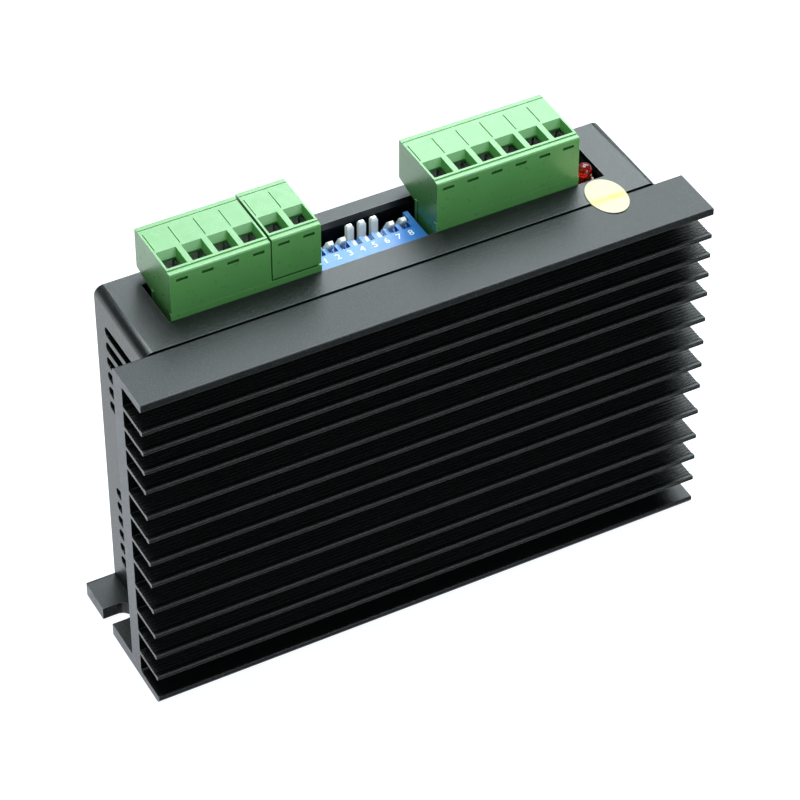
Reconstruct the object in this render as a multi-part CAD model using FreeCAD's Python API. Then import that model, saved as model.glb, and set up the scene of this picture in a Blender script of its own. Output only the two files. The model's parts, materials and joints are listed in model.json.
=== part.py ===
import FreeCAD, Part
import math
import os

V = FreeCAD.Vector

# Stepper motor driver in millimetres. It stands on its foot flange: +X runs along the fins,
# -Y is the finned side, +Z points up to the terminals. The origin is the centre of the footprint.

# Heat sink extrusion
LENGTH = 118.0
DEPTH = 34.0
HEIGHT = 75.5
FRONT_Y = -DEPTH / 2
BACK_Y = DEPTH / 2
BASE_FRONT_Y = -9.0
BASE_BACK_Y = -5.2
FOOT_THICKNESS = 2.8
FRONT_FOOT_THICKNESS = 1.7
TOP_FLANGE_THICKNESS = 1.6
TOP_REAR_RADIUS = 0.4
FIN_HEIGHTS = [6.75, 12.4, 17.95, 24.5, 31.2, 36.7, 42.5, 48.3, 54.65, 59.4, 64.1, 68.8]
FIN_ROOT_OVERLAP = 0.3
FIN_ROOT_THICKNESS = 1.0
FIN_WEB_THICKNESS = 0.75
FIN_TIP_THICKNESS = 1.0
FIN_TIP_DEPTH = 0.7
FIN_TIP_CHAMFER = 0.18
RIDGE_PITCH = 0.8
RIDGE_DEPTH = 0.13
RIDGE_COUNT = 8
RIDGE_START = 0.3
FOOT_CORNER_RADIUS = 1.0

# Open screw slots in the two ends of the foot
SLOT_WIDTH = 4.6
SLOT_SPACING = 112.0
SLOT_Y = 6.25

# Folded cover
COVER_LEFT_X = -52.75
COVER_RIGHT_X = 53.9
COVER_FRONT_Y = -4.8
COVER_BACK_Y = 16.6
COVER_WALL = 1.5
COVER_BEND_RADIUS = 1.9
OPENING_LEFT_X = -44.75
OPENING_RIGHT_X = 46.0
OPENING_FRONT_Y = 1.2
OPENING_BACK_Y = 13.2
VENT_HEIGHT = 2.3
VENT_FRONT_Y = -2.5
VENT_BACK_Y = 12.5
VENT_PITCH = 3.6
VENTS_PER_GROUP = 6
VENT_GROUP_BOTTOMS = [10.35, 50.45]

# Board, its fasteners and its parts
BOARD_HALF_WIDTH = 50.5
BOARD_BACK_Y = -0.3
BOARD_FACE_Y = 1.3
BOARD_BOTTOM = 5.0
BOARD_TOP = 74.0
POST_X = 47.0
POST_HEIGHTS = [9.5, 61.5]
POST_FLATS = 5.5
SPACER_RADIUS = 3.0
SCREW_RADIUS = 1.5
SCREW_GAP = 0.05
BOARD_HOLE_RADIUS = 1.6
STUD_DEPTH = 3.0
STUD_HOLE_DEPTH = 3.2
COUNTERSINK_RADIUS = 2.8
COVER_SCREW_LENGTH = 6.0
CROSS_LENGTH = 3.0
CROSS_WIDTH = 0.6
CROSS_DEPTH = 0.8
PAD_HALF_WIDTH = 42.0
PAD_BOTTOM = 20.0
PAD_TOP = 40.0
TRANSISTOR_COUNT = 8
TRANSISTOR_PITCH = 10.0
TRANSISTOR_HEIGHT = 2.3
TRANSISTOR_BOTTOM = 26.0
TRANSISTOR_BODY = (6.6, 6.1)
TRANSISTOR_TAB = (5.4, 1.9, 0.5)
CAPACITOR_X = [-30.0, -15.0, 0.0]
CAPACITOR_Z = 14.0
CAPACITOR_RADIUS = 6.25
CAPACITOR_LENGTH = 13.0
CAPACITOR_GROOVE_Y = 2.2
CAPACITOR_GROOVE_RADIUS = 0.5
CHIP_SIZES = [(24.0, 34.0, 14.0, 14.0, 1.4), (-24.0, 36.0, 10.3, 7.5, 2.4), (-6.0, 36.0, 10.3, 7.5, 2.4)]
COUPLER_X = [16.0, 25.0, 34.0]
COUPLER_Z = 54.0
COUPLER_SIZE = (6.4, 9.0, 3.4)
RESISTOR_X = [-36.0, -28.0, -20.0, -12.0]
RESISTOR_Z = 49.6
RESISTOR_SIZE = (6.4, 3.2, 0.8)
INDUCTOR_PLACE = (28.0, 15.0)
INDUCTOR_WIDTH = 12.0
INDUCTOR_HEIGHT = 7.0
INDUCTOR_CORNER = 2.0

# Pluggable terminals
POLE_PITCH = 5.08
LEFT_START_X = -44.3
RIGHT_START_X = 9.9
HEADER_POLES = 6
# Plug name: start in X, number of poles, height above or below the nominal seat
PLUGS = {"motor": (LEFT_START_X, 4, -0.4),
         "supply": (LEFT_START_X + 4 * POLE_PITCH, 2, 0.0),
         "signal": (RIGHT_START_X, 6, 0.2)}
HEADER_DEPTH = 8.5
HEADER_WALL = 0.9
HEADER_BOTTOM = 65.2
HEADER_FLOOR = 67.6
LEFT_HEADER_TOP = 76.85
RIGHT_HEADER_TOP = 77.42
PIN_SIZE = 1.0
PIN_Y = 5.5
PIN_TIP = 74.6
PIN_TIP_TAPER = 0.8
PIN_TIP_HALF = 0.25
PIN_BEND = 63.4
PIN_TAIL_Y = -1.5
PIN_HOLE_RADIUS = 0.8
PLUG_BACK_Y = 16.3
PLUG_TOP = 86.6
PLUG_STEP = 77.32
PLUG_NOSE = 68.3
PLUG_SKIRT_BACK = 77.8
PLUG_SKIRT_FRONT = 76.5
PLUG_SKIRT_GAP = 0.3
PLUG_GAP = 0.15
PLUG_LEDGE_Y = 2.55
PLUG_LEDGE_DROP = 0.22
NOSE_GAP = 0.2
BACK_LINE_Y = (15.0, 15.2)
PANEL_LINE_Y = (8.75, 13.9)
PANEL_LINE_OFFSET = 0.65
PANEL_LINE_HALF_WIDTH = 0.11
LINE_DEPTH = 0.25
PROBE_SLOT_HALF_WIDTH = 1.18
PROBE_SLOT_DEPTH = 1.2
PROBE_SLOT_Z = (84.5, 85.15)
CHAMBER_HALF_WIDTH = 2.15
CHAMBER_FRONT_Y = 3.0
CHAMBER_BACK_Y = 13.2
CHAMBER_BOTTOM = 78.2
CHAMBER_TOP = 84.7
ENTRY_HALF_WIDTH = 2.0
ENTRY_FRONT_Y = 3.1
ENTRY_BACK_Y = 8.1
NECK_HALF_WIDTH = 1.5
NECK_HALF_DEPTH = 1.55
NECK_TOP = 85.2
COLLAR_THICKNESS = 0.7
CLAMP_Z = 81.6
CLAMP_SCREW_RADIUS = 1.45
CLAMP_HEAD_RADIUS = 1.95
CLAMP_HEAD_GAP = 0.15
CLAMP_HEAD_SUNK = 0.4
CLAMP_SLOT_DEPTH = 0.9
CLAMP_SLOT_WIDTH = 0.8
CLAMP_RUNNING_GAP = 0.05
CAGE_HALF_WIDTH = 1.95
CAGE_LENGTH = 7.4
CAGE_FRONT_Y = 3.2
CAGE_BOTTOM = 78.9
CAGE_TOP = 84.3
CAGE_SIDE_WALL = 0.5
CAGE_FRONT_WALL = 0.6
CAGE_BACK_WALL = 1.2
CAGE_CORNER = 0.4
STRIP_HALF_WIDTH = 1.3
STRIP_FRONT_Y = 8.3
STRIP_BACK_Y = 8.9
CONTACT_WEB = 0.6
CONTACT_BORE_HALF = 0.8
CONTACT_BORE_TOP = 75.8

# DIP switch
DIP_CENTRE_X = -1.9
DIP_HALF_WIDTH = 11.1
DIP_FRONT_Y = 1.4
DIP_BACK_Y = 11.4
DIP_WALL = 1.0
DIP_BOTTOM = 66.4
DIP_TOP = 73.7
DIP_POLES = 8
DIP_PITCH = 2.54
DIP_FIRST_POLE_X = -11.0
DIP_SLOT_FRONT_Y = 6.85
DIP_SLOT_HALF_WIDTH = 0.85
DIP_COMB_BACK_Y = 8.7
DIP_COMB_FLOOR = 71.9
DIP_WELL_FRONT_Y = 10.2
DIP_FLOOR = 69.2
LEVER_PIVOT_Y = 10.7
LEVER_PIVOT_Z = 71.0
LEVER_HALF_WIDTH = 0.68
LEVER_HALF_DEPTH = 0.55
LEVER_BOTTOM = 70.6
LEVER_TOP = 75.5
LEVER_TIP_TAPER = 0.5
LEVER_TIP_INSET = 0.2
LEVER_FOOT_FRONT_Y = 8.45
LEVER_FOOT_Z = (71.4, 72.2)
LEVER_HUB_RADIUS = 0.65
LEVER_TILT = 32.0
LEVERS_UPRIGHT = [4, 5, 6]
AXLE_RADIUS = 0.35
AXLE_GAP = 0.05
AXLE_END_WALL = 0.4
DIP_LEAD_ROWS = [(3.2, 64.9), (8.8, 62.6)]
LEAD_HALF = 0.25
LEAD_HOLE_RADIUS = 0.45

# LED and seal
LED_X = 43.15
LED_Y = 3.9
LED_TIP = 77.5
LED_RADIUS = 1.5
LED_RIM_RADIUS = 1.9
LED_RIM_HEIGHT = 1.0
LED_LENGTH = 4.6
LED_LEAD_BEND = 69.9
LED_LEAD_OFFSET = 1.27
LED_LEAD_PASSAGE = 0.3
HOLDER_HALF_WIDTH = 2.2
HOLDER_HEIGHT = 3.2
HOLDER_LIP = 2.0
SEAL_X = 43.2
SEAL_Y = -4.47
SEAL_RADIUS_X = 3.82
SEAL_RADIUS_Y = 5.35
SEAL_THICKNESS = 0.12


def box(x0, x1, y0, y1, z0, z1):
    """Box between two corners."""
    return Part.makeBox(x1 - x0, y1 - y0, z1 - z0, V(x0, y0, z0))


def rod(radius, start, end):
    """Round bar between two points."""
    return Part.makeCylinder(radius, (end - start).Length, start, end - start)


def cone(radius_start, radius_end, start, end):
    """Tapered round bar between two points."""
    return Part.makeCone(radius_start, radius_end, (end - start).Length, start, end - start)


def joined(shapes):
    """One clean solid from touching solids."""
    return shapes[0].multiFuse(shapes[1:]).removeSplitter()


def cut_all(shape, tools):
    """Shape with every tool taken away."""
    return shape.cut(Part.makeCompound(tools)).removeSplitter()


def rounded_outline(corners):
    """Closed YZ outline; each corner is (y, z, radius) and gets a tangent arc."""
    count = len(corners)
    starts, arcs, ends = [], [], []
    for index in range(count):
        here = V(0, corners[index][0], corners[index][1])
        radius = corners[index][2]
        before = V(0, *corners[index - 1][:2]) - here
        after = V(0, *corners[(index + 1) % count][:2]) - here
        before.normalize()
        after.normalize()
        half = before.getAngle(after) / 2
        reach = radius / math.tan(half)
        middle = (before + after).normalize() * (radius / math.sin(half) - radius)
        starts.append(here + before * reach)
        ends.append(here + after * reach)
        arcs.append(Part.Arc(starts[-1], here + middle, ends[-1]).toShape() if radius else None)
    edges = []
    for index in range(count):
        if arcs[index]:
            edges.append(arcs[index])
        edges.append(Part.makeLine(ends[index], starts[(index + 1) % count]))
    return Part.Wire(edges)


def along_x(wire, x0, x1):
    """Solid with a YZ section between two X stations."""
    section = wire.copy()
    section.translate(V(x0, 0, 0))
    return Part.Face(section).extrude(V(x1 - x0, 0, 0))


# ---------------------------------------------------------------- housing

def fin(height):
    """One fin: a tapered web, finely ridged along its length, with a thicker chamfered tip."""
    root_y = BASE_FRONT_Y + FIN_ROOT_OVERLAP
    neck_y = FRONT_Y + FIN_TIP_DEPTH
    tip_half = FIN_TIP_THICKNESS / 2
    side = [(root_y, FIN_ROOT_THICKNESS / 2)]
    for step in range(2 * RIDGE_COUNT - 1, -1, -1):
        y = neck_y + RIDGE_START + step * RIDGE_PITCH / 2
        share = (y - neck_y) / (root_y - neck_y)
        half = (FIN_WEB_THICKNESS + share * (FIN_ROOT_THICKNESS - FIN_WEB_THICKNESS)) / 2
        side.append((y, half - RIDGE_DEPTH * (step % 2)))
    side += [(neck_y, tip_half), (FRONT_Y + FIN_TIP_CHAMFER, tip_half), (FRONT_Y, tip_half - FIN_TIP_CHAMFER)]
    upper = [V(0, y, height + half) for y, half in side]
    lower = [V(0, y, height - half) for y, half in reversed(side)]
    return along_x(Part.makePolygon(upper + lower + upper[:1]), -LENGTH / 2, LENGTH / 2)


def screw_slot(side):
    """Cutter for the open slot at one end of the foot."""
    centre_x = side * SLOT_SPACING / 2
    end_x = side * (LENGTH / 2 + 1)
    low_x, high_x = sorted([centre_x, end_x])
    straight = box(low_x, high_x, SLOT_Y - SLOT_WIDTH / 2, SLOT_Y + SLOT_WIDTH / 2, -1, FOOT_THICKNESS + 1)
    round_end = rod(SLOT_WIDTH / 2, V(centre_x, SLOT_Y, -1), V(centre_x, SLOT_Y, FOOT_THICKNESS + 1))
    return straight.fuse(round_end)


def heatsink():
    """Base plate, foot and top flange as one section, with the fins and the screw slots."""
    flange_bottom = HEIGHT - TOP_FLANGE_THICKNESS
    section = rounded_outline([
        (FRONT_Y, 0, 1.1), (BACK_Y, 0, 0.5), (BACK_Y, FOOT_THICKNESS, 0.8),
        (BASE_BACK_Y, FOOT_THICKNESS, 0), (BASE_BACK_Y, HEIGHT, TOP_REAR_RADIUS), (FRONT_Y, HEIGHT, 0.3),
        (FRONT_Y, flange_bottom, 0.3), (BASE_FRONT_Y, flange_bottom, 0.6),
        (BASE_FRONT_Y, FRONT_FOOT_THICKNESS, 0.6), (FRONT_Y, FRONT_FOOT_THICKNESS, 0.3)])
    core = along_x(section, -LENGTH / 2, LENGTH / 2)
    body = joined([core] + [fin(height) for height in FIN_HEIGHTS])
    cutters = [screw_slot(side) for side in (-1, 1)]
    for x, z in post_places():
        cutters.append(rod(SCREW_RADIUS + SCREW_GAP, V(x, BASE_BACK_Y + 1, z),
                           V(x, BASE_BACK_Y - STUD_HOLE_DEPTH, z)))
    for side in (-1, 1):
        cutters.append(foot_corner(side))
    return cut_all(body, cutters)


def foot_corner(side):
    """Cutter that rounds one rear corner of the foot."""
    radius = FOOT_CORNER_RADIUS
    centre = V(side * (LENGTH / 2 - radius), BACK_Y - radius, -1)
    low_x, high_x = sorted([centre.x, side * (LENGTH / 2 + 1)])
    block = box(low_x, high_x, centre.y, BACK_Y + 1, -1, FOOT_THICKNESS + 1)
    return block.cut(Part.makeCylinder(radius, FOOT_THICKNESS + 2, centre))


def cover_block(inset, front_y, back_y, bottom):
    """Solid of the cover's shape, moved inwards by inset, with rounded upper long edges."""
    top = HEIGHT - inset
    radius = COVER_BEND_RADIUS - inset
    block = box(COVER_LEFT_X + inset, COVER_RIGHT_X - inset, front_y, back_y, bottom, top)
    edges = [edge for edge in block.Edges
             if abs(edge.BoundBox.ZMin - top) < 1e-6 and edge.BoundBox.XLength < 1e-6]
    return block.makeFillet(radius, edges)


def vent(z):
    """Cutter for one long vent through both side walls."""
    radius = VENT_HEIGHT / 2
    left_x, right_x = COVER_LEFT_X - 1, COVER_RIGHT_X + 1
    slot = [box(left_x, right_x, VENT_FRONT_Y + radius, VENT_BACK_Y - radius, z - radius, z + radius)]
    for y in (VENT_FRONT_Y + radius, VENT_BACK_Y - radius):
        slot.append(rod(radius, V(left_x, y, z), V(right_x, y, z)))
    return joined(slot)


def cover():
    """Cover shell: top, two sides and back, open towards the heat sink and the foot."""
    outer = cover_block(0, COVER_FRONT_Y, COVER_BACK_Y, FOOT_THICKNESS)
    inner = cover_block(COVER_WALL, COVER_FRONT_Y - 1, COVER_BACK_Y - COVER_WALL, FOOT_THICKNESS - 1)
    cutters = [inner, box(OPENING_LEFT_X, OPENING_RIGHT_X, OPENING_FRONT_Y, OPENING_BACK_Y,
                          HEIGHT - COVER_WALL - 1, HEIGHT + 1)]
    for bottom in VENT_GROUP_BOTTOMS:
        for index in range(VENTS_PER_GROUP):
            cutters.append(vent(bottom + index * VENT_PITCH))
    for x, z in post_places():
        cutters.append(countersink(x, z, SCREW_GAP))
    return cut_all(outer, cutters)


def countersink(x, z, gap):
    """Cone and clearance hole of one cover screw."""
    depth = COUNTERSINK_RADIUS - SCREW_RADIUS
    mouth = V(x, COVER_BACK_Y, z)
    throat = V(x, COVER_BACK_Y - depth, z)
    inside = V(x, COVER_BACK_Y - COVER_WALL - 1, z)
    return cone(COUNTERSINK_RADIUS + gap, SCREW_RADIUS + gap, mouth, throat).fuse(
        rod(SCREW_RADIUS + gap, mouth, inside))


def seal_sticker():
    """Oval paper seal over the joint between heat sink and cover."""
    centre = V(SEAL_X, SEAL_Y, HEIGHT)
    outline = Part.Ellipse(centre + V(0, SEAL_RADIUS_Y, 0), centre + V(SEAL_RADIUS_X, 0, 0), centre)
    return Part.Face(Part.Wire([outline.toShape()])).extrude(V(0, 0, SEAL_THICKNESS))


# ---------------------------------------------------------------- board and electronics

def post_places():
    """X and Z of the four posts that hold board and cover."""
    return [(side * POST_X, z) for side in (-1, 1) for z in POST_HEIGHTS]


def header_pole_places():
    """X of every terminal pole."""
    return [start + (pole + 0.5) * POLE_PITCH
            for start in (LEFT_START_X, RIGHT_START_X) for pole in range(HEADER_POLES)]


def dip_pole_places():
    """X of every DIP switch pole, left to right."""
    return [DIP_FIRST_POLE_X + pole * DIP_PITCH for pole in range(DIP_POLES)]


def led_lead_places():
    """X of the LED's two leads."""
    return [LED_X - LED_LEAD_OFFSET, LED_X + LED_LEAD_OFFSET]


def main_board():
    """Circuit board with its screw holes and lead holes."""
    board = box(-BOARD_HALF_WIDTH, BOARD_HALF_WIDTH, BOARD_BACK_Y, BOARD_FACE_Y, BOARD_BOTTOM, BOARD_TOP)
    holes = [(x, z, BOARD_HOLE_RADIUS) for x, z in post_places()]
    holes += [(x, PIN_BEND + PIN_SIZE / 2, PIN_HOLE_RADIUS) for x in header_pole_places()]
    holes += [(x, bend + LEAD_HALF, LEAD_HOLE_RADIUS) for x in dip_pole_places() for _, bend in DIP_LEAD_ROWS]
    holes += [(x, LED_LEAD_BEND + LEAD_HALF, LEAD_HOLE_RADIUS) for x in led_lead_places()]
    return cut_all(board, [rod(radius, V(x, BOARD_BACK_Y - 1, z), V(x, BOARD_FACE_Y + 1, z))
                           for x, z, radius in holes])


def board_spacers():
    """Four round tubes between base plate and board."""
    tubes = []
    for x, z in post_places():
        low, high = V(x, BASE_BACK_Y, z), V(x, BOARD_BACK_Y, z)
        tubes.append(rod(SPACER_RADIUS, low, high).cut(rod(SCREW_RADIUS + SCREW_GAP, low, high)))
    return Part.makeCompound(tubes)


def hexagon(x, y, z, flats):
    """Hexagonal face in the XZ plane."""
    radius = flats / math.sqrt(3)
    points = [V(x + radius * math.cos(math.radians(60 * k)), y, z + radius * math.sin(math.radians(60 * k)))
              for k in range(7)]
    return Part.Face(Part.makePolygon(points))


def standoffs():
    """Four hexagonal posts with a stud through board and spacer and a blind hole for the cover screw."""
    posts = []
    length = COVER_BACK_Y - COVER_WALL - BOARD_FACE_Y
    for x, z in post_places():
        post = hexagon(x, BOARD_FACE_Y, z, POST_FLATS).extrude(V(0, length, 0))
        stud = rod(SCREW_RADIUS, V(x, BASE_BACK_Y - STUD_DEPTH, z), V(x, BOARD_FACE_Y, z))
        top_y = BOARD_FACE_Y + length
        hole = rod(SCREW_RADIUS + SCREW_GAP, V(x, top_y, z), V(x, top_y - COVER_SCREW_LENGTH, z))
        posts.append(joined([post, stud]).cut(hole))
    return Part.makeCompound(posts)


def cover_screws():
    """Four countersunk screws with crossed slots, flush with the cover's back."""
    screws = []
    long, short = CROSS_LENGTH / 2, CROSS_WIDTH / 2
    low_y, high_y = COVER_BACK_Y - CROSS_DEPTH, COVER_BACK_Y + 1
    for x, z in post_places():
        mouth = V(x, COVER_BACK_Y, z)
        throat = V(x, COVER_BACK_Y - (COUNTERSINK_RADIUS - SCREW_RADIUS), z)
        head = cone(COUNTERSINK_RADIUS, SCREW_RADIUS, mouth, throat)
        shank = rod(SCREW_RADIUS, throat, V(x, COVER_BACK_Y - COVER_SCREW_LENGTH, z))
        cross = [box(x - long, x + long, low_y, high_y, z - short, z + short),
                 box(x - short, x + short, low_y, high_y, z - long, z + long)]
        screws.append(cut_all(joined([head, shank]), cross))
    return Part.makeCompound(screws)


def thermal_pad():
    """Soft gap pad between transistors and base plate."""
    tabs_y = BOARD_BACK_Y - TRANSISTOR_HEIGHT
    return box(-PAD_HALF_WIDTH, PAD_HALF_WIDTH, BASE_BACK_Y, tabs_y, PAD_BOTTOM, PAD_TOP)


def power_transistors():
    """Row of flat power transistors on the board's back, each with a metal tab step."""
    parts = []
    body_half, body_top = TRANSISTOR_BODY[0] / 2, TRANSISTOR_BOTTOM + TRANSISTOR_BODY[1]
    tab_half, tab_top = TRANSISTOR_TAB[0] / 2, body_top + TRANSISTOR_TAB[1]
    low_y = BOARD_BACK_Y - TRANSISTOR_HEIGHT
    for index in range(TRANSISTOR_COUNT):
        x = (index - (TRANSISTOR_COUNT - 1) / 2) * TRANSISTOR_PITCH
        body = box(x - body_half, x + body_half, low_y, BOARD_BACK_Y, TRANSISTOR_BOTTOM, body_top)
        tab = box(x - tab_half, x + tab_half, low_y, low_y + TRANSISTOR_TAB[2], body_top, tab_top)
        parts.append(joined([body, tab]))
    return Part.makeCompound(parts)


def on_board(x, z, width, tall, thick):
    """Flat block on the board's face."""
    return box(x - width / 2, x + width / 2, BOARD_FACE_Y, BOARD_FACE_Y + thick, z - tall / 2, z + tall / 2)


def bulk_capacitors():
    """Three upright round capacitors with a rolled groove near the board."""
    cans = []
    for x in CAPACITOR_X:
        foot = V(x, BOARD_FACE_Y, CAPACITOR_Z)
        can = rod(CAPACITOR_RADIUS, foot, foot + V(0, CAPACITOR_LENGTH, 0))
        groove = Part.makeTorus(CAPACITOR_RADIUS + CAPACITOR_GROOVE_RADIUS / 2, CAPACITOR_GROOVE_RADIUS,
                                foot + V(0, CAPACITOR_GROOVE_Y, 0), V(0, 1, 0))
        cans.append(can.cut(groove))
    return Part.makeCompound(cans)


def control_chips():
    """Processor, two gate drivers and three signal couplers."""
    sizes = CHIP_SIZES + [(x, COUPLER_Z) + COUPLER_SIZE for x in COUPLER_X]
    return Part.makeCompound([on_board(*size) for size in sizes])


def sense_resistors():
    """Four flat current sensing resistors."""
    return Part.makeCompound([on_board(x, RESISTOR_Z, *RESISTOR_SIZE) for x in RESISTOR_X])


def power_inductor():
    """Square shielded inductor with rounded corners."""
    block = on_board(*INDUCTOR_PLACE, INDUCTOR_WIDTH, INDUCTOR_WIDTH, INDUCTOR_HEIGHT)
    return block.makeFillet(INDUCTOR_CORNER, [edge for edge in block.Edges if edge.BoundBox.YLength > 1])


# ---------------------------------------------------------------- terminals

def header(start_x, top):
    """Open-ended socket strip; the plugs slide in from above."""
    end_x = start_x + HEADER_POLES * POLE_PITCH
    back_y = BOARD_FACE_Y + HEADER_DEPTH
    block = box(start_x, end_x, BOARD_FACE_Y, back_y, HEADER_BOTTOM, top)
    cutters = [box(start_x - 1, end_x + 1, BOARD_FACE_Y + HEADER_WALL, back_y - HEADER_WALL,
                   HEADER_FLOOR, top + 1)]
    half = PIN_SIZE / 2
    for pole in range(HEADER_POLES):
        x = start_x + (pole + 0.5) * POLE_PITCH
        cutters.append(box(x - half, x + half, PIN_Y - half, PIN_Y + half,
                           HEADER_BOTTOM - 1, HEADER_FLOOR + 1))
    return cut_all(block, cutters)


def header_pins():
    """Twelve square pins, bent towards the board below their header."""
    half = PIN_SIZE / 2
    pins = []
    for x in header_pole_places():
        shoulder = PIN_TIP - PIN_TIP_TAPER
        upright = box(x - half, x + half, PIN_Y - half, PIN_Y + half, PIN_BEND, shoulder)
        tip = taper(x, PIN_Y, half, half, shoulder, PIN_TIP_HALF, PIN_TIP_HALF, PIN_TIP)
        tail = box(x - half, x + half, PIN_TAIL_Y, PIN_Y, PIN_BEND, PIN_BEND + PIN_SIZE)
        pins.append(joined([upright, tip, tail]))
    return Part.makeCompound(pins)


def rectangle(x, y, half_x, half_y, z):
    """Closed rectangle wire at one height."""
    corners = [V(x - half_x, y - half_y, z), V(x + half_x, y - half_y, z),
               V(x + half_x, y + half_y, z), V(x - half_x, y + half_y, z)]
    return Part.makePolygon(corners + corners[:1])


def taper(x, y, low_half_x, low_half_y, low_z, high_half_x, high_half_y, high_z):
    """Four-sided taper between two centred rectangles."""
    return Part.makeLoft([rectangle(x, y, low_half_x, low_half_y, low_z),
                          rectangle(x, y, high_half_x, high_half_y, high_z)], True, True)


def pole_cutters(x):
    """Everything hollow in one pole of a plug."""
    entry_y = (ENTRY_FRONT_Y + ENTRY_BACK_Y) / 2
    entry_half_depth = (ENTRY_BACK_Y - ENTRY_FRONT_Y) / 2
    funnel = taper(x, entry_y, NECK_HALF_WIDTH, NECK_HALF_DEPTH, NECK_TOP,
                   ENTRY_HALF_WIDTH, entry_half_depth, PLUG_TOP)
    neck = box(x - NECK_HALF_WIDTH, x + NECK_HALF_WIDTH, entry_y - NECK_HALF_DEPTH, entry_y + NECK_HALF_DEPTH,
               CHAMBER_TOP - 0.5, NECK_TOP)
    chamber = box(x - CHAMBER_HALF_WIDTH, x + CHAMBER_HALF_WIDTH, CHAMBER_FRONT_Y, CHAMBER_BACK_Y,
                  CHAMBER_BOTTOM, CHAMBER_TOP)
    collar_back = CHAMBER_BACK_Y + COLLAR_THICKNESS
    screw_hole = rod(CLAMP_SCREW_RADIUS + 2 * CLAMP_RUNNING_GAP, V(x, CHAMBER_BACK_Y - 1, CLAMP_Z),
                     V(x, collar_back + 1, CLAMP_Z))
    head_hole = rod(CLAMP_HEAD_RADIUS + CLAMP_HEAD_GAP, V(x, collar_back, CLAMP_Z),
                    V(x, PLUG_BACK_Y + 1, CLAMP_Z))
    half = STRIP_HALF_WIDTH
    web_bottom = CHAMBER_BOTTOM - CONTACT_WEB
    socket_room = box(x - half, x + half, PIN_Y - half, PIN_Y + half, PLUG_NOSE - 1, web_bottom)
    web_room = box(x - half, x + half, PIN_Y - half, STRIP_BACK_Y, web_bottom, CHAMBER_BOTTOM)
    probe_slot = box(x - PROBE_SLOT_HALF_WIDTH, x + PROBE_SLOT_HALF_WIDTH, BOARD_FACE_Y - 1,
                     BOARD_FACE_Y + PROBE_SLOT_DEPTH, *PROBE_SLOT_Z)
    line_x = x - POLE_PITCH / 2 + PANEL_LINE_OFFSET
    panel_line = box(line_x - PANEL_LINE_HALF_WIDTH, line_x + PANEL_LINE_HALF_WIDTH, *PANEL_LINE_Y,
                     PLUG_TOP - LINE_DEPTH, PLUG_TOP + 1)
    return [funnel, neck, chamber, screw_hole, head_hole, socket_room, web_room, probe_slot, panel_line]


def plug(start_x, poles):
    """Plug housing with its nose in the header and its head overhanging the cover."""
    header_back_y = BOARD_FACE_Y + HEADER_DEPTH
    nose_front_y = BOARD_FACE_Y + HEADER_WALL + NOSE_GAP
    nose_back_y = header_back_y - HEADER_WALL - NOSE_GAP
    skirt_y = header_back_y + PLUG_SKIRT_GAP
    ledge_top = PLUG_TOP - PLUG_LEDGE_DROP
    section = rounded_outline([
        (nose_front_y, PLUG_NOSE, 0.4), (nose_back_y, PLUG_NOSE, 0.4), (nose_back_y, PLUG_STEP, 0),
        (skirt_y, PLUG_STEP, 0), (skirt_y, PLUG_SKIRT_FRONT, 0.2), (PLUG_BACK_Y, PLUG_SKIRT_BACK, 0.4),
        (PLUG_BACK_Y, PLUG_TOP, 0.25), (PLUG_LEDGE_Y, PLUG_TOP, 0), (PLUG_LEDGE_Y, ledge_top, 0),
        (BOARD_FACE_Y, ledge_top, 0.35), (BOARD_FACE_Y, PLUG_STEP, 0), (nose_front_y, PLUG_STEP, 0)])
    end_x = start_x + poles * POLE_PITCH
    body = along_x(section, start_x + PLUG_GAP, end_x - PLUG_GAP)
    cutters = [box(start_x - 1, end_x + 1, *BACK_LINE_Y, PLUG_TOP - LINE_DEPTH, PLUG_TOP + 1)]
    for pole in range(poles):
        cutters += pole_cutters(start_x + (pole + 0.5) * POLE_PITCH)
    return cut_all(body, cutters)


def plug_contacts(start_x, poles):
    """One contact per pole: a socket for the pin and a strip up through the clamping cage."""
    contacts = []
    half = STRIP_HALF_WIDTH
    bore_half = CONTACT_BORE_HALF
    web_bottom = CHAMBER_BOTTOM - CONTACT_WEB
    for pole in range(poles):
        x = start_x + (pole + 0.5) * POLE_PITCH
        socket = box(x - half, x + half, PIN_Y - half, PIN_Y + half, PLUG_NOSE + CONTACT_WEB, web_bottom)
        web = box(x - half, x + half, PIN_Y - half, STRIP_BACK_Y, web_bottom, CHAMBER_BOTTOM)
        strip = box(x - half, x + half, STRIP_FRONT_Y, STRIP_BACK_Y, CHAMBER_BOTTOM, CAGE_TOP)
        bore = box(x - bore_half, x + bore_half, PIN_Y - bore_half, PIN_Y + bore_half,
                   PLUG_NOSE, CONTACT_BORE_TOP)
        contacts.append(joined([socket, web, strip]).cut(bore))
    return Part.makeCompound(contacts)


def clamp_screw(x):
    """Slotted clamping screw of one pole; its head sits in the plug's back."""
    head_y = CHAMBER_BACK_Y + COLLAR_THICKNESS + 2 * CLAMP_RUNNING_GAP
    end_y = PLUG_BACK_Y - CLAMP_HEAD_SUNK
    head = rod(CLAMP_HEAD_RADIUS, V(x, head_y, CLAMP_Z), V(x, end_y, CLAMP_Z))
    tip_y = STRIP_BACK_Y + 2 * CLAMP_RUNNING_GAP
    shank = rod(CLAMP_SCREW_RADIUS, V(x, tip_y, CLAMP_Z), V(x, head_y, CLAMP_Z))
    half = CLAMP_SLOT_WIDTH / 2
    slot = box(x - CLAMP_HEAD_RADIUS - 1, x + CLAMP_HEAD_RADIUS + 1, end_y - CLAMP_SLOT_DEPTH, end_y + 1,
               CLAMP_Z - half, CLAMP_Z + half)
    return joined([head, shank]).cut(slot)


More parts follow.
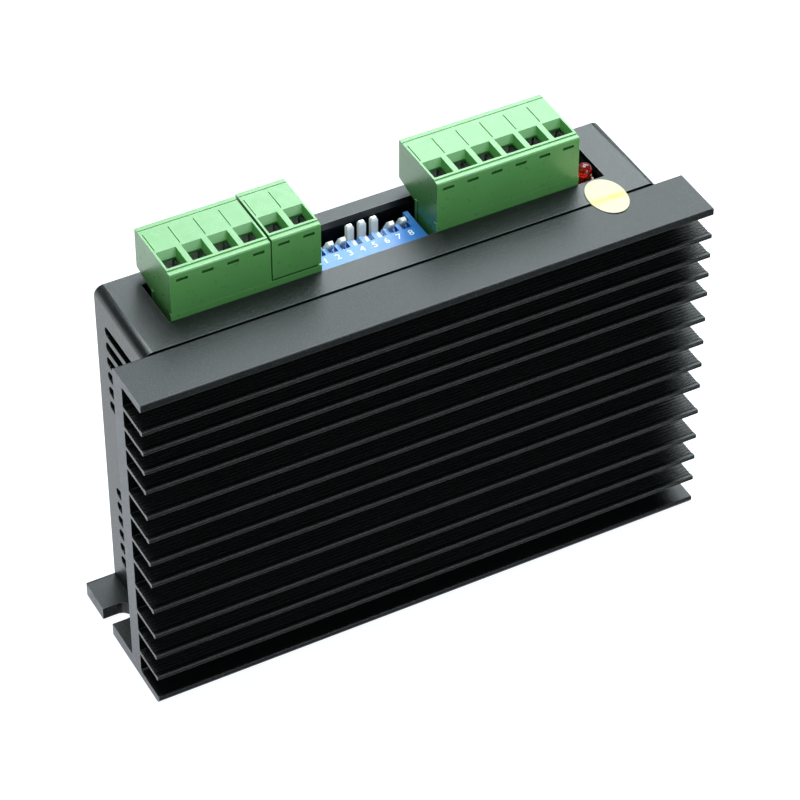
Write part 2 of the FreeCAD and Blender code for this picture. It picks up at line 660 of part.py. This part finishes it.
def clamp_cage(x):
    """Metal cage of one pole; the screw draws its front wall towards the strip."""
    back_y = CAGE_FRONT_Y + CAGE_LENGTH
    block = box(x - CAGE_HALF_WIDTH, x + CAGE_HALF_WIDTH, CAGE_FRONT_Y, back_y, CAGE_BOTTOM, CAGE_TOP)
    block = block.makeFillet(CAGE_CORNER, [edge for edge in block.Edges if edge.BoundBox.ZLength > 1])
    half = CAGE_HALF_WIDTH - CAGE_SIDE_WALL
    window = box(x - half, x + half, CAGE_FRONT_Y + CAGE_FRONT_WALL, back_y - CAGE_BACK_WALL,
                 CAGE_BOTTOM - 1, CAGE_TOP + 1)
    hole = rod(CLAMP_SCREW_RADIUS + CLAMP_RUNNING_GAP, V(x, back_y - CAGE_BACK_WALL - 1, CLAMP_Z),
               V(x, back_y + 1, CLAMP_Z))
    return cut_all(block, [window, hole])


# ---------------------------------------------------------------- DIP switch and LED

def dip_body():
    """Switch housing: printed top, a comb of teeth between the levers and two end walls."""
    left, right = DIP_CENTRE_X - DIP_HALF_WIDTH, DIP_CENTRE_X + DIP_HALF_WIDTH
    well_left, well_right = left + DIP_WALL, right - DIP_WALL
    block = box(left, right, DIP_FRONT_Y, DIP_BACK_Y, DIP_BOTTOM, DIP_TOP)
    cutters = [box(well_left, well_right, DIP_COMB_BACK_Y, DIP_BACK_Y + 1, DIP_COMB_FLOOR, DIP_TOP + 1),
               box(well_left, well_right, DIP_WELL_FRONT_Y, DIP_BACK_Y + 1, DIP_FLOOR, DIP_TOP + 1)]
    for x in dip_pole_places():
        cutters.append(box(x - DIP_SLOT_HALF_WIDTH, x + DIP_SLOT_HALF_WIDTH, DIP_SLOT_FRONT_Y,
                           DIP_BACK_Y + 1, DIP_FLOOR, DIP_TOP + 1))
    cutters.append(axle_rod(AXLE_RADIUS + AXLE_GAP))
    return cut_all(block, cutters)


def axle_rod(radius):
    """Bar on the levers' pivot line, ending inside the end walls."""
    reach = DIP_HALF_WIDTH - AXLE_END_WALL
    return rod(radius, V(DIP_CENTRE_X - reach, LEVER_PIVOT_Y, LEVER_PIVOT_Z),
               V(DIP_CENTRE_X + reach, LEVER_PIVOT_Y, LEVER_PIVOT_Z))


def dip_lever(number):
    """One rocking lever with a foot towards the front, upright or tilted forwards."""
    x = dip_pole_places()[number - 1]
    half = LEVER_HALF_WIDTH
    low_y, high_y = LEVER_PIVOT_Y - LEVER_HALF_DEPTH, LEVER_PIVOT_Y + LEVER_HALF_DEPTH
    shoulder = LEVER_TOP - LEVER_TIP_TAPER
    arm = box(x - half, x + half, low_y, high_y, LEVER_BOTTOM, shoulder)
    tip = taper(x, LEVER_PIVOT_Y, half, LEVER_HALF_DEPTH, shoulder,
                half - LEVER_TIP_INSET, LEVER_HALF_DEPTH - LEVER_TIP_INSET, LEVER_TOP)
    pivot = V(x, LEVER_PIVOT_Y, LEVER_PIVOT_Z)
    hub = rod(LEVER_HUB_RADIUS, pivot - V(half, 0, 0), pivot + V(half, 0, 0))
    foot = box(x - half, x + half, LEVER_FOOT_FRONT_Y, LEVER_PIVOT_Y, *LEVER_FOOT_Z)
    lever = joined([arm, tip, hub, foot]).cut(axle_rod(AXLE_RADIUS + AXLE_GAP))
    if number not in LEVERS_UPRIGHT:
        lever.rotate(pivot, V(1, 0, 0), LEVER_TILT)
    return lever


def bent_lead(x, y, top_z, bend_z):
    """Square lead that runs down and then back through the board."""
    half = LEAD_HALF
    down = box(x - half, x + half, y - half, y + half, bend_z, top_z)
    through = box(x - half, x + half, PIN_TAIL_Y, y, bend_z, bend_z + 2 * half)
    return joined([down, through])


def small_leads():
    """Bent leads of the DIP switch and of the LED."""
    leads = [bent_lead(x, y, DIP_BOTTOM, bend) for x in dip_pole_places() for y, bend in DIP_LEAD_ROWS]
    leads += [bent_lead(x, LED_Y, LED_TIP - LED_LENGTH, LED_LEAD_BEND) for x in led_lead_places()]
    return Part.makeCompound(leads)


def led_lens():
    """Round-topped lens with its rim."""
    rim_z = LED_TIP - LED_LENGTH
    rim = rod(LED_RIM_RADIUS, V(LED_X, LED_Y, rim_z), V(LED_X, LED_Y, rim_z + LED_RIM_HEIGHT))
    barrel = rod(LED_RADIUS, V(LED_X, LED_Y, rim_z), V(LED_X, LED_Y, LED_TIP - LED_RADIUS))
    dome = Part.makeSphere(LED_RADIUS, V(LED_X, LED_Y, LED_TIP - LED_RADIUS))
    return joined([rim, barrel, dome])


def led_holder():
    """Block that carries the LED off the board, with a passage for the leads."""
    top_z = LED_TIP - LED_LENGTH
    bottom_z = top_z - HOLDER_HEIGHT
    half = LED_LEAD_PASSAGE
    block = box(LED_X - HOLDER_HALF_WIDTH, LED_X + HOLDER_HALF_WIDTH, BOARD_FACE_Y, LED_Y + HOLDER_LIP,
                bottom_z, top_z)
    passages = [box(x - half, x + half, BOARD_FACE_Y - 1, LED_Y + half, bottom_z - 1, top_z + 1)
                for x in led_lead_places()]
    return cut_all(block, passages)


# ---------------------------------------------------------------- assembly

def build():
    """Every node by name."""
    nodes = {
        "heatsink": heatsink(), "cover": cover(), "seal_sticker": seal_sticker(),
        "main_board": main_board(), "board_spacers": board_spacers(), "standoffs": standoffs(),
        "cover_screws": cover_screws(), "thermal_pad": thermal_pad(),
        "power_transistors": power_transistors(), "bulk_capacitors": bulk_capacitors(),
        "control_chips": control_chips(), "sense_resistors": sense_resistors(),
        "power_inductor": power_inductor(), "left_header": header(LEFT_START_X, LEFT_HEADER_TOP),
        "right_header": header(RIGHT_START_X, RIGHT_HEADER_TOP), "header_pins": header_pins(),
        "dip_body": dip_body(), "dip_axle": axle_rod(AXLE_RADIUS), "small_leads": small_leads(),
        "led_lens": led_lens(), "led_holder": led_holder()}
    for name, (start_x, poles, seat) in PLUGS.items():
        pieces = {f"{name}_plug": plug(start_x, poles), f"{name}_contacts": plug_contacts(start_x, poles)}
        for pole in range(poles):
            x = start_x + (pole + 0.5) * POLE_PITCH
            pieces[f"{name}_screw_{pole + 1}"] = clamp_screw(x)
            pieces[f"{name}_cage_{pole + 1}"] = clamp_cage(x)
        for node, piece in pieces.items():
            piece.translate(V(0, 0, seat))
            nodes[node] = piece
    for number in range(1, DIP_POLES + 1):
        nodes[f"dip_lever_{number}"] = dip_lever(number)
    return nodes


os.makedirs("parts", exist_ok=True)
for node, shape in build().items():
    shape.exportStep(f"parts/{node}.step")
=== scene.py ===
import json
import math

import bmesh
import bpy
from mathutils import Matrix, Vector


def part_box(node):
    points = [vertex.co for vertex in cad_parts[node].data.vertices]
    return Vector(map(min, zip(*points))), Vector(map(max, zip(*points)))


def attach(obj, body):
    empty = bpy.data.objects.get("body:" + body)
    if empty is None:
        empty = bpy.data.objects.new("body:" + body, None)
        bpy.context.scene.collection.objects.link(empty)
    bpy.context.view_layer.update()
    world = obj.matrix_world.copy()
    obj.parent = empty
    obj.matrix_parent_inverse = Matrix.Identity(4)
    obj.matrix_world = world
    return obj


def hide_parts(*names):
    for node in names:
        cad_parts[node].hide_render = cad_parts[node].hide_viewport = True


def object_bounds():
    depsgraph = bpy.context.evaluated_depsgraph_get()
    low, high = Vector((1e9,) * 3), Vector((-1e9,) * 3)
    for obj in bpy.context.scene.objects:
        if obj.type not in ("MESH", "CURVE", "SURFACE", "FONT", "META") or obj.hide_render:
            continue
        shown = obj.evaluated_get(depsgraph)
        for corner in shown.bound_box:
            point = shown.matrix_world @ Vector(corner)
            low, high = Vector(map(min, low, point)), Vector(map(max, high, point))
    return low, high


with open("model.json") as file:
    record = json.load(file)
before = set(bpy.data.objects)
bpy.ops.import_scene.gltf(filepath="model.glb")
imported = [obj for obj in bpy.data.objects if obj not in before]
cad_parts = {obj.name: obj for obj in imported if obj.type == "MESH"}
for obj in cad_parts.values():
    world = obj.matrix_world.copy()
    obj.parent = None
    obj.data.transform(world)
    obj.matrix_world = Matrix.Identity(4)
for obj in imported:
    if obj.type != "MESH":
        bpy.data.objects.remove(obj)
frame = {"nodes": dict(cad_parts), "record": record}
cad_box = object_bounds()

# Stepper motor driver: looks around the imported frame. Lengths are in metres, in the row frame.

MM = 0.001
NODES = frame["nodes"]

# Camera: a long lens, above and to the left of the finned side.
CAMERA_AZIMUTH = math.radians(-28.17)
CAMERA_ELEVATION = math.radians(41.757)
CAMERA_ROLL = math.radians(-0.09)
CAMERA_DISTANCE = 0.6627
CAMERA_LENS = 156.0
CAMERA_TARGET = Vector((1.51, -0.25, 38.55)) * MM

SENSOR_WIDTH = 36.0
NEAR_CLIP = 0.01

# Studio: softboxes are name: (azimuth, elevation, width and height, power in watts).
LIGHT_COLOUR = (0.87, 0.98, 1.0)
LIGHT_DISTANCE = 1.3
LIGHT_AIM = Vector((0, 0, 40)) * MM
SOFTBOXES = {"top_light": (150, 75, (1.0, 1.0), 29.0),
             "back_light": (132, 40, (1.1, 0.6), 13.0),
             "front_light": (12, 16, (0.8, 0.5), 6.5)}
WORLD_COLOUR = (0.9, 0.96, 1.0, 1)
WORLD_STRENGTH = 0.12
FLOOR_GLOW = 0.97
FLOOR_GLOW_COLOUR = (0.93, 0.96, 1.0, 1)
FLOOR_GREYS = ((0.24, 0.24, 0.24, 1), (0.26, 0.26, 0.26, 1))
FLOOR_REACH = 3.0
FLOOR_DROP = 0.02 * MM

# Widths of the softened edges, by CAD node, in millimetres
BEVELS = {"heatsink": 0.08, "cover": 0.15, "left_header": 0.1, "right_header": 0.1,
          "motor_plug": 0.1, "supply_plug": 0.1, "signal_plug": 0.1, "dip_body": 0.08,
          "main_board": 0.05, "led_holder": 0.15}
BEVEL_ANGLE = math.radians(50)

# Seal sticker
SEAL_THICKNESS = 0.1 * MM
SEAL_CREASE_DEPTH = 0.09 * MM
SEAL_CREASE_WIDTH = 0.4 * MM
SEAL_RIM_LIFT = 0.05 * MM
SEAL_STAIN_WIDTH = 1.3 * MM
JOINT_HALF_WIDTH = 0.35 * MM

# Figures printed on the DIP switch
FIGURE_HEIGHT = 1.56 * MM
FIGURE_SETBACK = 3.9 * MM
CAPITAL_SHARE = 0.73


def srgb(red, green, blue):
    """Linear colour from 0-255 display values."""
    def linear(value):
        value /= 255
        return value / 12.92 if value <= 0.04045 else ((value + 0.055) / 1.055) ** 2.4
    return linear(red), linear(green), linear(blue), 1.0


def joint_line():
    """Y of the middle of the joint between heat sink and cover."""
    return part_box("cover")[0].y - JOINT_HALF_WIDTH


# ---------------------------------------------------------------- materials

class Finish:
    """A Principled material and short helpers for its procedural textures, in object coordinates."""

    def __init__(self, name, **values):
        self.material = bpy.data.materials.new(name)
        self.material.use_nodes = True
        self.tree = self.material.node_tree
        self.shader = self.tree.nodes["Principled BSDF"]
        self.coordinates = self.tree.nodes.new("ShaderNodeTexCoord").outputs["Object"]
        for socket, value in values.items():
            self.shader.inputs[socket.replace("_", " ")].default_value = value

    def link(self, source, target):
        self.tree.links.new(source, target)
        return target

    def stretched(self, scale):
        """Coordinates scaled by three factors."""
        node = self.tree.nodes.new("ShaderNodeMapping")
        node.inputs["Scale"].default_value = scale
        self.link(self.coordinates, node.inputs["Vector"])
        return node.outputs["Vector"]

    def noise(self, scale, detail=3.0, stretch=(1, 1, 1), roughness=0.55):
        """Noise value; scale is in features per metre."""
        node = self.tree.nodes.new("ShaderNodeTexNoise")
        node.inputs["Scale"].default_value = scale
        node.inputs["Detail"].default_value = detail
        node.inputs["Roughness"].default_value = roughness
        self.link(self.stretched(stretch), node.inputs["Vector"])
        return node.outputs["Fac"]

    def axis(self, name):
        """One coordinate of the object, in metres."""
        node = self.tree.nodes.new("ShaderNodeSeparateXYZ")
        self.link(self.coordinates, node.inputs["Vector"])
        return node.outputs[name]

    def normal_axis(self, name):
        """One component of the surface normal."""
        geometry = self.tree.nodes.new("ShaderNodeNewGeometry")
        node = self.tree.nodes.new("ShaderNodeSeparateXYZ")
        self.link(geometry.outputs["True Normal"], node.inputs["Vector"])
        return node.outputs[name]

    def math(self, operation, first, second=None):
        node = self.tree.nodes.new("ShaderNodeMath")
        node.operation = operation
        for index, value in enumerate((first, second)):
            if value is None:
                continue
            if isinstance(value, (int, float)):
                node.inputs[index].default_value = value
            else:
                self.link(value, node.inputs[index])
        return node.outputs[0]

    def spread(self, value, low, high, to_low=0.0, to_high=1.0):
        """Value mapped from one range to another, clamped."""
        node = self.tree.nodes.new("ShaderNodeMapRange")
        limits = {"From Min": low, "From Max": high, "To Min": to_low, "To Max": to_high}
        for socket, number in limits.items():
            node.inputs[socket].default_value = number
        self.link(value, node.inputs["Value"])
        return node.outputs["Result"]

    def blend(self, factor, first, second):
        """Colour between two colours or colour sockets."""
        node = self.tree.nodes.new("ShaderNodeMix")
        node.data_type = "RGBA"
        self.link(factor, node.inputs["Factor"])
        for socket, value in ((node.inputs[6], first), (node.inputs[7], second)):
            if isinstance(value, tuple):
                socket.default_value = value
            else:
                self.link(value, socket)
        return node.outputs[2]

    # Edge mask for a pale edge colour, used for real wear and for painted highlight along edges.
    def edge_wear(self, reach=0.25 * MM):
        """1 at edges, 0 elsewhere, from how far a bevelled normal turns away from the plain one."""
        bevel = self.tree.nodes.new("ShaderNodeBevel")
        bevel.samples = 4
        bevel.inputs["Radius"].default_value = reach
        geometry = self.tree.nodes.new("ShaderNodeNewGeometry")
        dot = self.tree.nodes.new("ShaderNodeVectorMath")
        dot.operation = "DOT_PRODUCT"
        self.link(bevel.outputs["Normal"], dot.inputs[0])
        self.link(geometry.outputs["Normal"], dot.inputs[1])
        return self.spread(dot.outputs["Value"], 0.995, 0.85)

    def colour(self, source):
        self.link(source, self.shader.inputs["Base Color"])

    def roughness(self, source):
        self.link(source, self.shader.inputs["Roughness"])

    def bump(self, height, distance, strength=1.0):
        """Relief of a given depth in metres."""
        node = self.tree.nodes.new("ShaderNodeBump")
        node.inputs["Distance"].default_value = distance
        node.inputs["Strength"].default_value = strength
        self.link(height, node.inputs["Height"])
        self.link(node.outputs["Normal"], self.shader.inputs["Normal"])


def moulded(name, dark, light, roughness, grain=0.008 * MM, **values):
    """Injection-moulded plastic: slight colour drift, a fine grain and uneven gloss."""
    finish = Finish(name, **values)
    finish.colour(finish.blend(finish.noise(180.0, 4.0), dark, light))
    finish.roughness(finish.spread(finish.noise(900.0, 3.0), 0.3, 0.7, roughness - 0.05, roughness + 0.07))
    finish.bump(finish.noise(5200.0, 2.0), grain)
    return finish.material


def anodised():
    """Black anodised extrusion: a speckled skin, saw marks on the cut ends, pale edges (part wear,
    part painted highlight) and fin front faces darkened as painted shade."""
    finish = Finish("black_anodised", Specular_IOR_Level=0.45)
    lines = finish.noise(2600.0, 3.0, stretch=(0.006, 1, 1))
    speckle = finish.noise(2400.0, 4.0, roughness=0.75)
    skin = finish.blend(finish.noise(60.0, 4.0), srgb(13, 15, 16), srgb(23, 25, 26))
    skin = finish.blend(finish.spread(speckle, 0.54, 0.74), skin, srgb(58, 61, 63))
    cut_end = finish.spread(finish.math("ABSOLUTE", finish.normal_axis("X")), 0.9, 0.95)
    saw = finish.noise(3000.0, 2.0, stretch=(1, 0.04, 1))
    end = finish.blend(finish.spread(saw, 0.3, 0.7), srgb(68, 70, 77), srgb(92, 94, 102))
    skin = finish.blend(cut_end, skin, end)
    # The pale edge colour is partly bare metal wear and partly a painted highlight.
    wear_and_highlight = finish.edge_wear(0.12 * MM)
    finish.colour(finish.blend(wear_and_highlight, skin, srgb(132, 132, 126)))
    # Painted shade: faces turned to the front go fully metallic over the near-black base, which makes them
    # darker.
    painted_front_shade = finish.spread(finish.normal_axis("Y"), -0.95, -0.9, 1.0, 0.0)
    painted_tip_shade = finish.math("MULTIPLY", painted_front_shade, finish.math("SUBTRACT", 1.0, wear_and_highlight))
    finish.link(finish.spread(painted_tip_shade, 0.0, 0.8, 0.2, 1.0), finish.shader.inputs["Metallic"])
    finish.roughness(finish.spread(speckle, 0.35, 0.7, 0.3, 0.46))
    finish.bump(finish.math("ADD", lines, finish.math("MULTIPLY", speckle, 5.0)), 0.008 * MM)
    return finish.material


def coating():
    """Satin black coating with a fine even grit and slightly greyer bends."""
    finish = Finish("black_coating", Specular_IOR_Level=0.55)
    grit = finish.noise(2500.0, 4.0, roughness=0.75)
    skin = finish.blend(finish.noise(45.0, 4.0), srgb(11, 13, 14), srgb(20, 22, 23))
    skin = finish.blend(finish.spread(grit, 0.55, 0.75), skin, srgb(58, 61, 63))
    finish.colour(finish.blend(finish.edge_wear(0.25 * MM), skin, srgb(90, 93, 97)))
    finish.roughness(finish.spread(grit, 0.35, 0.7, 0.28, 0.42))
    finish.bump(grit, 0.045 * MM)
    return finish.material


def terminal_green():
    """Green terminal plastic, with a painted highlight as a paler colour along its thin edges."""
    finish = Finish("terminal_green", Specular_IOR_Level=0.85)
    flow = finish.noise(140.0, 5.0, stretch=(1, 1, 0.5))
    base = finish.blend(flow, srgb(74, 138, 68), srgb(86, 150, 78))
    # The paler colour on the edges is a painted highlight.
    finish.colour(finish.blend(finish.edge_wear(0.16 * MM), base, srgb(122, 182, 112)))
    finish.roughness(finish.spread(finish.noise(700.0), 0.3, 0.7, 0.26, 0.36))
    finish.bump(finish.noise(3000.0, 2.0), 0.004 * MM)
    return finish.material


def plated(name, dark, light, roughness, metallic=1.0):
    """Bright plated metal with fine drawing marks and dull patches."""
    finish = Finish(name, Metallic=metallic)
    marks = finish.noise(5000.0, 3.0, stretch=(0.2, 0.2, 1))
    dull = finish.noise(700.0, 4.0)
    finish.colour(finish.blend(dull, dark, light))
    unevenness = finish.math("ADD", marks, dull)
    finish.roughness(finish.spread(unevenness, 0.7, 1.3, roughness - 0.06, roughness + 0.12))
    finish.bump(marks, 0.006 * MM)
    return finish.material


def paper_seal():
    """Cream seal paper with fibres and a yellowed crease over the joint."""
    finish = Finish("seal_paper", Roughness=0.7, Specular_IOR_Level=0.3)
    fibres = finish.noise(2500.0, 5.0, stretch=(1, 0.3, 1))
    paper = finish.blend(fibres, srgb(190, 184, 154), srgb(202, 196, 168))
    off_joint = finish.math("ABSOLUTE", finish.math("SUBTRACT", finish.axis("Y"), joint_line()))
    crease = finish.spread(off_joint, 0.0, SEAL_STAIN_WIDTH, 1.0, 0.0)
    blur = finish.math("MULTIPLY", crease, finish.spread(finish.noise(420.0), 0.3, 0.7, 0.35, 1.0))
    finish.colour(finish.blend(blur, paper, srgb(196, 178, 84)))
    finish.bump(fibres, 0.01 * MM)
    return finish.material


def circuit_board():
    """Green solder mask over tracks; bare laminate on the cut edges."""
    finish = Finish("board_laminate", Specular_IOR_Level=0.5, Roughness=0.32)
    brick = finish.tree.nodes.new("ShaderNodeTexBrick")
    brick.inputs["Scale"].default_value = 260.0
    brick.inputs["Mortar Size"].default_value = 0.012
    brick.inputs["Color1"].default_value = srgb(12, 74, 40)
    brick.inputs["Color2"].default_value = srgb(15, 84, 46)
    brick.inputs["Mortar"].default_value = srgb(34, 118, 66)
    turn = finish.tree.nodes.new("ShaderNodeMapping")
    turn.inputs["Rotation"].default_value = (math.pi / 2, 0, 0)
    finish.link(finish.coordinates, turn.inputs["Vector"])
    finish.link(turn.outputs["Vector"], brick.inputs["Vector"])
    edge = finish.spread(finish.math("ABSOLUTE", finish.normal_axis("Y")), 0.9, 0.95, 1.0, 0.0)
    finish.colour(finish.blend(edge, brick.outputs["Color"], srgb(150, 140, 84)))
    finish.bump(brick.outputs["Fac"], 0.02 * MM)
    return finish.material


def red_lens():
    """Tinted clear resin."""
    finish = Finish("red_lens", Transmission_Weight=0.85, IOR=1.5, Specular_IOR_Level=0.6)
    finish.colour(finish.blend(finish.noise(400.0, 3.0), srgb(206, 22, 16), srgb(232, 44, 26)))
    finish.roughness(finish.spread(finish.noise(1500.0), 0.3, 0.7, 0.06, 0.14))
    return finish.material


def make_materials():
    """Every material by slot name."""
    return {
        "black_anodised": anodised(),
        "black_coating": coating(),
        "seal_paper": paper_seal(),
        "board_laminate": circuit_board(),
        "zinc_steel": plated("zinc_steel", srgb(150, 152, 150), srgb(206, 208, 206), 0.28),
        "black_steel": plated("black_steel", srgb(34, 34, 36), srgb(58, 58, 60), 0.36),
        "gap_pad": moulded("gap_pad", srgb(140, 150, 168), srgb(160, 170, 186), 0.7),
        "chip_plastic": moulded("chip_plastic", srgb(20, 20, 22), srgb(34, 34, 36), 0.5),
        "capacitor_sleeve": moulded("capacitor_sleeve", srgb(16, 17, 24), srgb(26, 28, 38), 0.28),
        "ferrite": moulded("ferrite", srgb(52, 52, 54), srgb(72, 72, 74), 0.62, 0.03 * MM),
        "terminal_green": terminal_green(),
        "tinned_brass": plated("tinned_brass", srgb(206, 206, 202), srgb(238, 238, 234), 0.34,
                               metallic=0.6),
        "switch_blue": moulded("switch_blue", srgb(30, 104, 178), srgb(42, 118, 192), 0.3,
                               Specular_IOR_Level=0.75),
        "lever_white": moulded("lever_white", srgb(234, 234, 230), srgb(244, 244, 240), 0.42),
        "red_lens": red_lens(),
    }


# ---------------------------------------------------------------- carried-over CAD nodes

def soften(obj, width):
    """Small rounded edges that catch the light."""
    weld = obj.modifiers.new("weld", "WELD")
    weld.merge_threshold = 0.001 * MM
    bevel = obj.modifiers.new("edges", "BEVEL")
    bevel.width = width
    bevel.segments = 2
    bevel.limit_method = "ANGLE"
    bevel.angle_limit = BEVEL_ANGLE
    bevel.use_clamp_overlap = True


def dress_nodes(materials):
    """Gives each CAD node its slot's material and, where listed, softened edges."""
    slot_of = {part["node"]: part["material_slot"] for part in frame["record"]["subparts"]}
    for name, obj in NODES.items():
        obj.data.materials.clear()
        obj.data.materials.append(materials[slot_of[name]])
        if name in BEVELS:
            soften(obj, BEVELS[name] * MM)


# ---------------------------------------------------------------- added pieces

def new_object(name, mesh, material, body):
    """Links a mesh object made in row frame coordinates and lets it ride on a body."""
    obj = bpy.data.objects.new(name, mesh)
    bpy.context.scene.collection.objects.link(obj)
    mesh.materials.append(material)
    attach(obj, body)
    return obj


def seal(material):
    """Oval seal sticker: a thin sheet that sags into the joint and lifts a little at its rim."""
    low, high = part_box("seal_sticker")
    centre = (low + high) / 2
    reach = (high - low) / 2
    rings, spokes = 28, 96
    joint = joint_line()
    mesh = bpy.data.meshes.new("seal_patch")
    build = bmesh.new()

    def height(y, share, angle):
        crease = math.exp(-((y - joint) / SEAL_CREASE_WIDTH) ** 2)
        lift = SEAL_RIM_LIFT * max(0.0, share - 0.8) / 0.2 * (1 + math.sin(3 * angle))
        return low.z + 0.01 * MM + SEAL_THICKNESS - SEAL_CREASE_DEPTH * crease + lift

    top, bottom = [], []
    for ring in range(rings + 1):
        share = ring / rings
        row_top, row_bottom = [], []
        for spoke in range(spokes if ring else 1):
            angle = 2 * math.pi * spoke / spokes
            x = centre.x + reach.x * share * math.cos(angle)
            y = centre.y + reach.y * share * math.sin(angle)
            z = height(y, share, angle)
            row_top.append(build.verts.new((x, y, z)))
            row_bottom.append(build.verts.new((x, y, z - SEAL_THICKNESS)))
        top.append(row_top)
        bottom.append(row_bottom)
    for ring in range(rings):
        for spoke in range(spokes):
            after = (spoke + 1) % spokes
            for rows, flip in ((top, False), (bottom, True)):
                outer = [rows[ring + 1][spoke], rows[ring + 1][after]]
                inner = [rows[0][0]] if ring == 0 else [rows[ring][after], rows[ring][spoke]]
                face = build.faces.new(outer + inner)
                if flip:
                    face.normal_flip()
    for spoke in range(spokes):
        after = (spoke + 1) % spokes
        build.faces.new([top[-1][after], top[-1][spoke], bottom[-1][spoke], bottom[-1][after]])
    bmesh.ops.recalc_face_normals(build, faces=build.faces)
    for face in build.faces:
        face.smooth = True
    build.to_mesh(mesh)
    build.free()
    patch = new_object("seal_patch", mesh, material, "housing")
    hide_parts("seal_sticker")


def switch_numbers(material):
    """White figures 1 to 8 printed in front of the switch levers."""
    low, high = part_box("dip_body")
    figures = []
    for number in range(1, 9):
        lever_low, lever_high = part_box(f"dip_lever_{number}")
        text = bpy.data.curves.new(f"figure_{number}", "FONT")
        text.body = str(number)
        text.size = FIGURE_HEIGHT / CAPITAL_SHARE
        text.extrude = 0.02 * MM
        text.offset = 0.004 * MM
        text.align_x = "CENTER"
        text.align_y = "CENTER"
        figure = bpy.data.objects.new(f"figure_{number}", text)
        bpy.context.scene.collection.objects.link(figure)
        figure.location = ((lever_low.x + lever_high.x) / 2, low.y + FIGURE_SETBACK,
                           high.z + 0.015 * MM)
        figures.append(figure)
    depsgraph = bpy.context.evaluated_depsgraph_get()
    build = bmesh.new()
    for figure in figures:
        mesh = bpy.data.meshes.new_from_object(figure.evaluated_get(depsgraph))
        mesh.transform(Matrix.Translation(figure.location))
        build.from_mesh(mesh)
    for figure in figures:
        bpy.data.objects.remove(figure)
    whole = bpy.data.meshes.new("switch_numbers")
    build.to_mesh(whole)
    build.free()
    new_object("switch_numbers", whole, material, "housing")


def turned(build, profile, x, y, spokes=32):
    """Adds a surface of revolution about a vertical axis; the profile is a list of (radius, z)."""
    rows = []
    for radius, z in profile:
        turns = [2 * math.pi * spoke / spokes for spoke in range(spokes)]
        rows.append([build.verts.new((x + radius * math.cos(turn), y + radius * math.sin(turn), z))
                     for turn in turns])
    for lower, upper in zip(rows, rows[1:]):
        for spoke in range(spokes):
            after = (spoke + 1) % spokes
            build.faces.new([lower[spoke], lower[after], upper[after], upper[spoke]])
    build.faces.new(list(reversed(rows[0])))
    build.faces.new(rows[-1])


def led_cup(material):
    """The reflector cup and the bond post inside the LED's lens."""
    low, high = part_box("led_lens")
    centre = (low + high) / 2
    mesh = bpy.data.meshes.new("led_cup")
    build = bmesh.new()
    base, rim = low.z + 0.3 * MM, low.z + 2.3 * MM
    cup_x, post_x = centre.x - 0.35 * MM, centre.x + 0.75 * MM
    turned(build, [(0.3 * MM, base), (0.3 * MM, rim - 0.7 * MM), (0.75 * MM, rim), (0.62 * MM, rim),
                   (0.25 * MM, rim - 0.4 * MM)], cup_x, centre.y)
    turned(build, [(0.2 * MM, base), (0.2 * MM, rim - 0.2 * MM), (0.12 * MM, rim - 0.05 * MM)],
           post_x, centre.y)
    bmesh.ops.recalc_face_normals(build, faces=build.faces)
    build.to_mesh(mesh)
    build.free()
    new_object("led_cup", mesh, material, "housing")


# ---------------------------------------------------------------- stage

def look_from(azimuth, elevation):
    """Unit vector from the object towards a viewer; azimuth 0 is in front of -Y."""
    return Vector((math.sin(azimuth) * math.cos(elevation), -math.cos(azimuth) * math.cos(elevation),
                   math.sin(elevation)))


def add_camera():
    data = bpy.data.cameras.new("camera")
    data.lens = CAMERA_LENS
    data.sensor_width = SENSOR_WIDTH
    data.clip_start = NEAR_CLIP
    camera = bpy.data.objects.new("camera", data)
    back = look_from(CAMERA_AZIMUTH, CAMERA_ELEVATION)
    place = Matrix.Translation(CAMERA_TARGET + back * CAMERA_DISTANCE)
    turn = back.to_track_quat("Z", "Y").to_matrix().to_4x4()
    camera.matrix_world = place @ turn @ Matrix.Rotation(-CAMERA_ROLL, 4, "Z")
    bpy.context.scene.collection.objects.link(camera)
    bpy.context.scene.camera = camera


def add_softbox(name, azimuth, elevation, size, power):
    """Rectangular area light aimed at the object."""
    data = bpy.data.lights.new(name, "AREA")
    data.shape = "RECTANGLE"
    data.size, data.size_y = size
    data.energy = power
    data.color = LIGHT_COLOUR
    light = bpy.data.objects.new(name, data)
    direction = look_from(math.radians(azimuth), math.radians(elevation))
    light.location = LIGHT_AIM + direction * LIGHT_DISTANCE
    light.rotation_euler = direction.to_track_quat("Z", "Y").to_euler()
    bpy.context.scene.collection.objects.link(light)


def add_floor():
    """A lit white table, as under a product shot."""
    mesh = bpy.data.meshes.new("floor")
    build = bmesh.new()
    bmesh.ops.create_grid(build, x_segments=1, y_segments=1, size=FLOOR_REACH)
    build.to_mesh(mesh)
    build.free()
    floor = bpy.data.objects.new("floor", mesh)
    finish = Finish("floor_paper", Roughness=0.9, Specular_IOR_Level=0.1, Emission_Strength=FLOOR_GLOW,
                    Emission_Color=FLOOR_GLOW_COLOUR)
    finish.colour(finish.blend(finish.noise(3.0), *FLOOR_GREYS))
    mesh.materials.append(finish.material)
    floor.location.z = cad_box[0][2] - FLOOR_DROP
    bpy.context.scene.collection.objects.link(floor)


def add_stage():
    scene = bpy.context.scene
    scene.view_settings.view_transform = "Standard"
    world = bpy.data.worlds.new("studio")
    world.use_nodes = True
    background = world.node_tree.nodes["Background"]
    background.inputs["Color"].default_value = WORLD_COLOUR
    background.inputs["Strength"].default_value = WORLD_STRENGTH
    scene.world = world
    for name, placing in SOFTBOXES.items():
        add_softbox(name, *placing)
    add_floor()


add_camera()
materials = make_materials()
dress_nodes(materials)
seal(materials["seal_paper"])
switch_numbers(materials["lever_white"])
led_cup(materials["tinned_brass"])
add_stage()
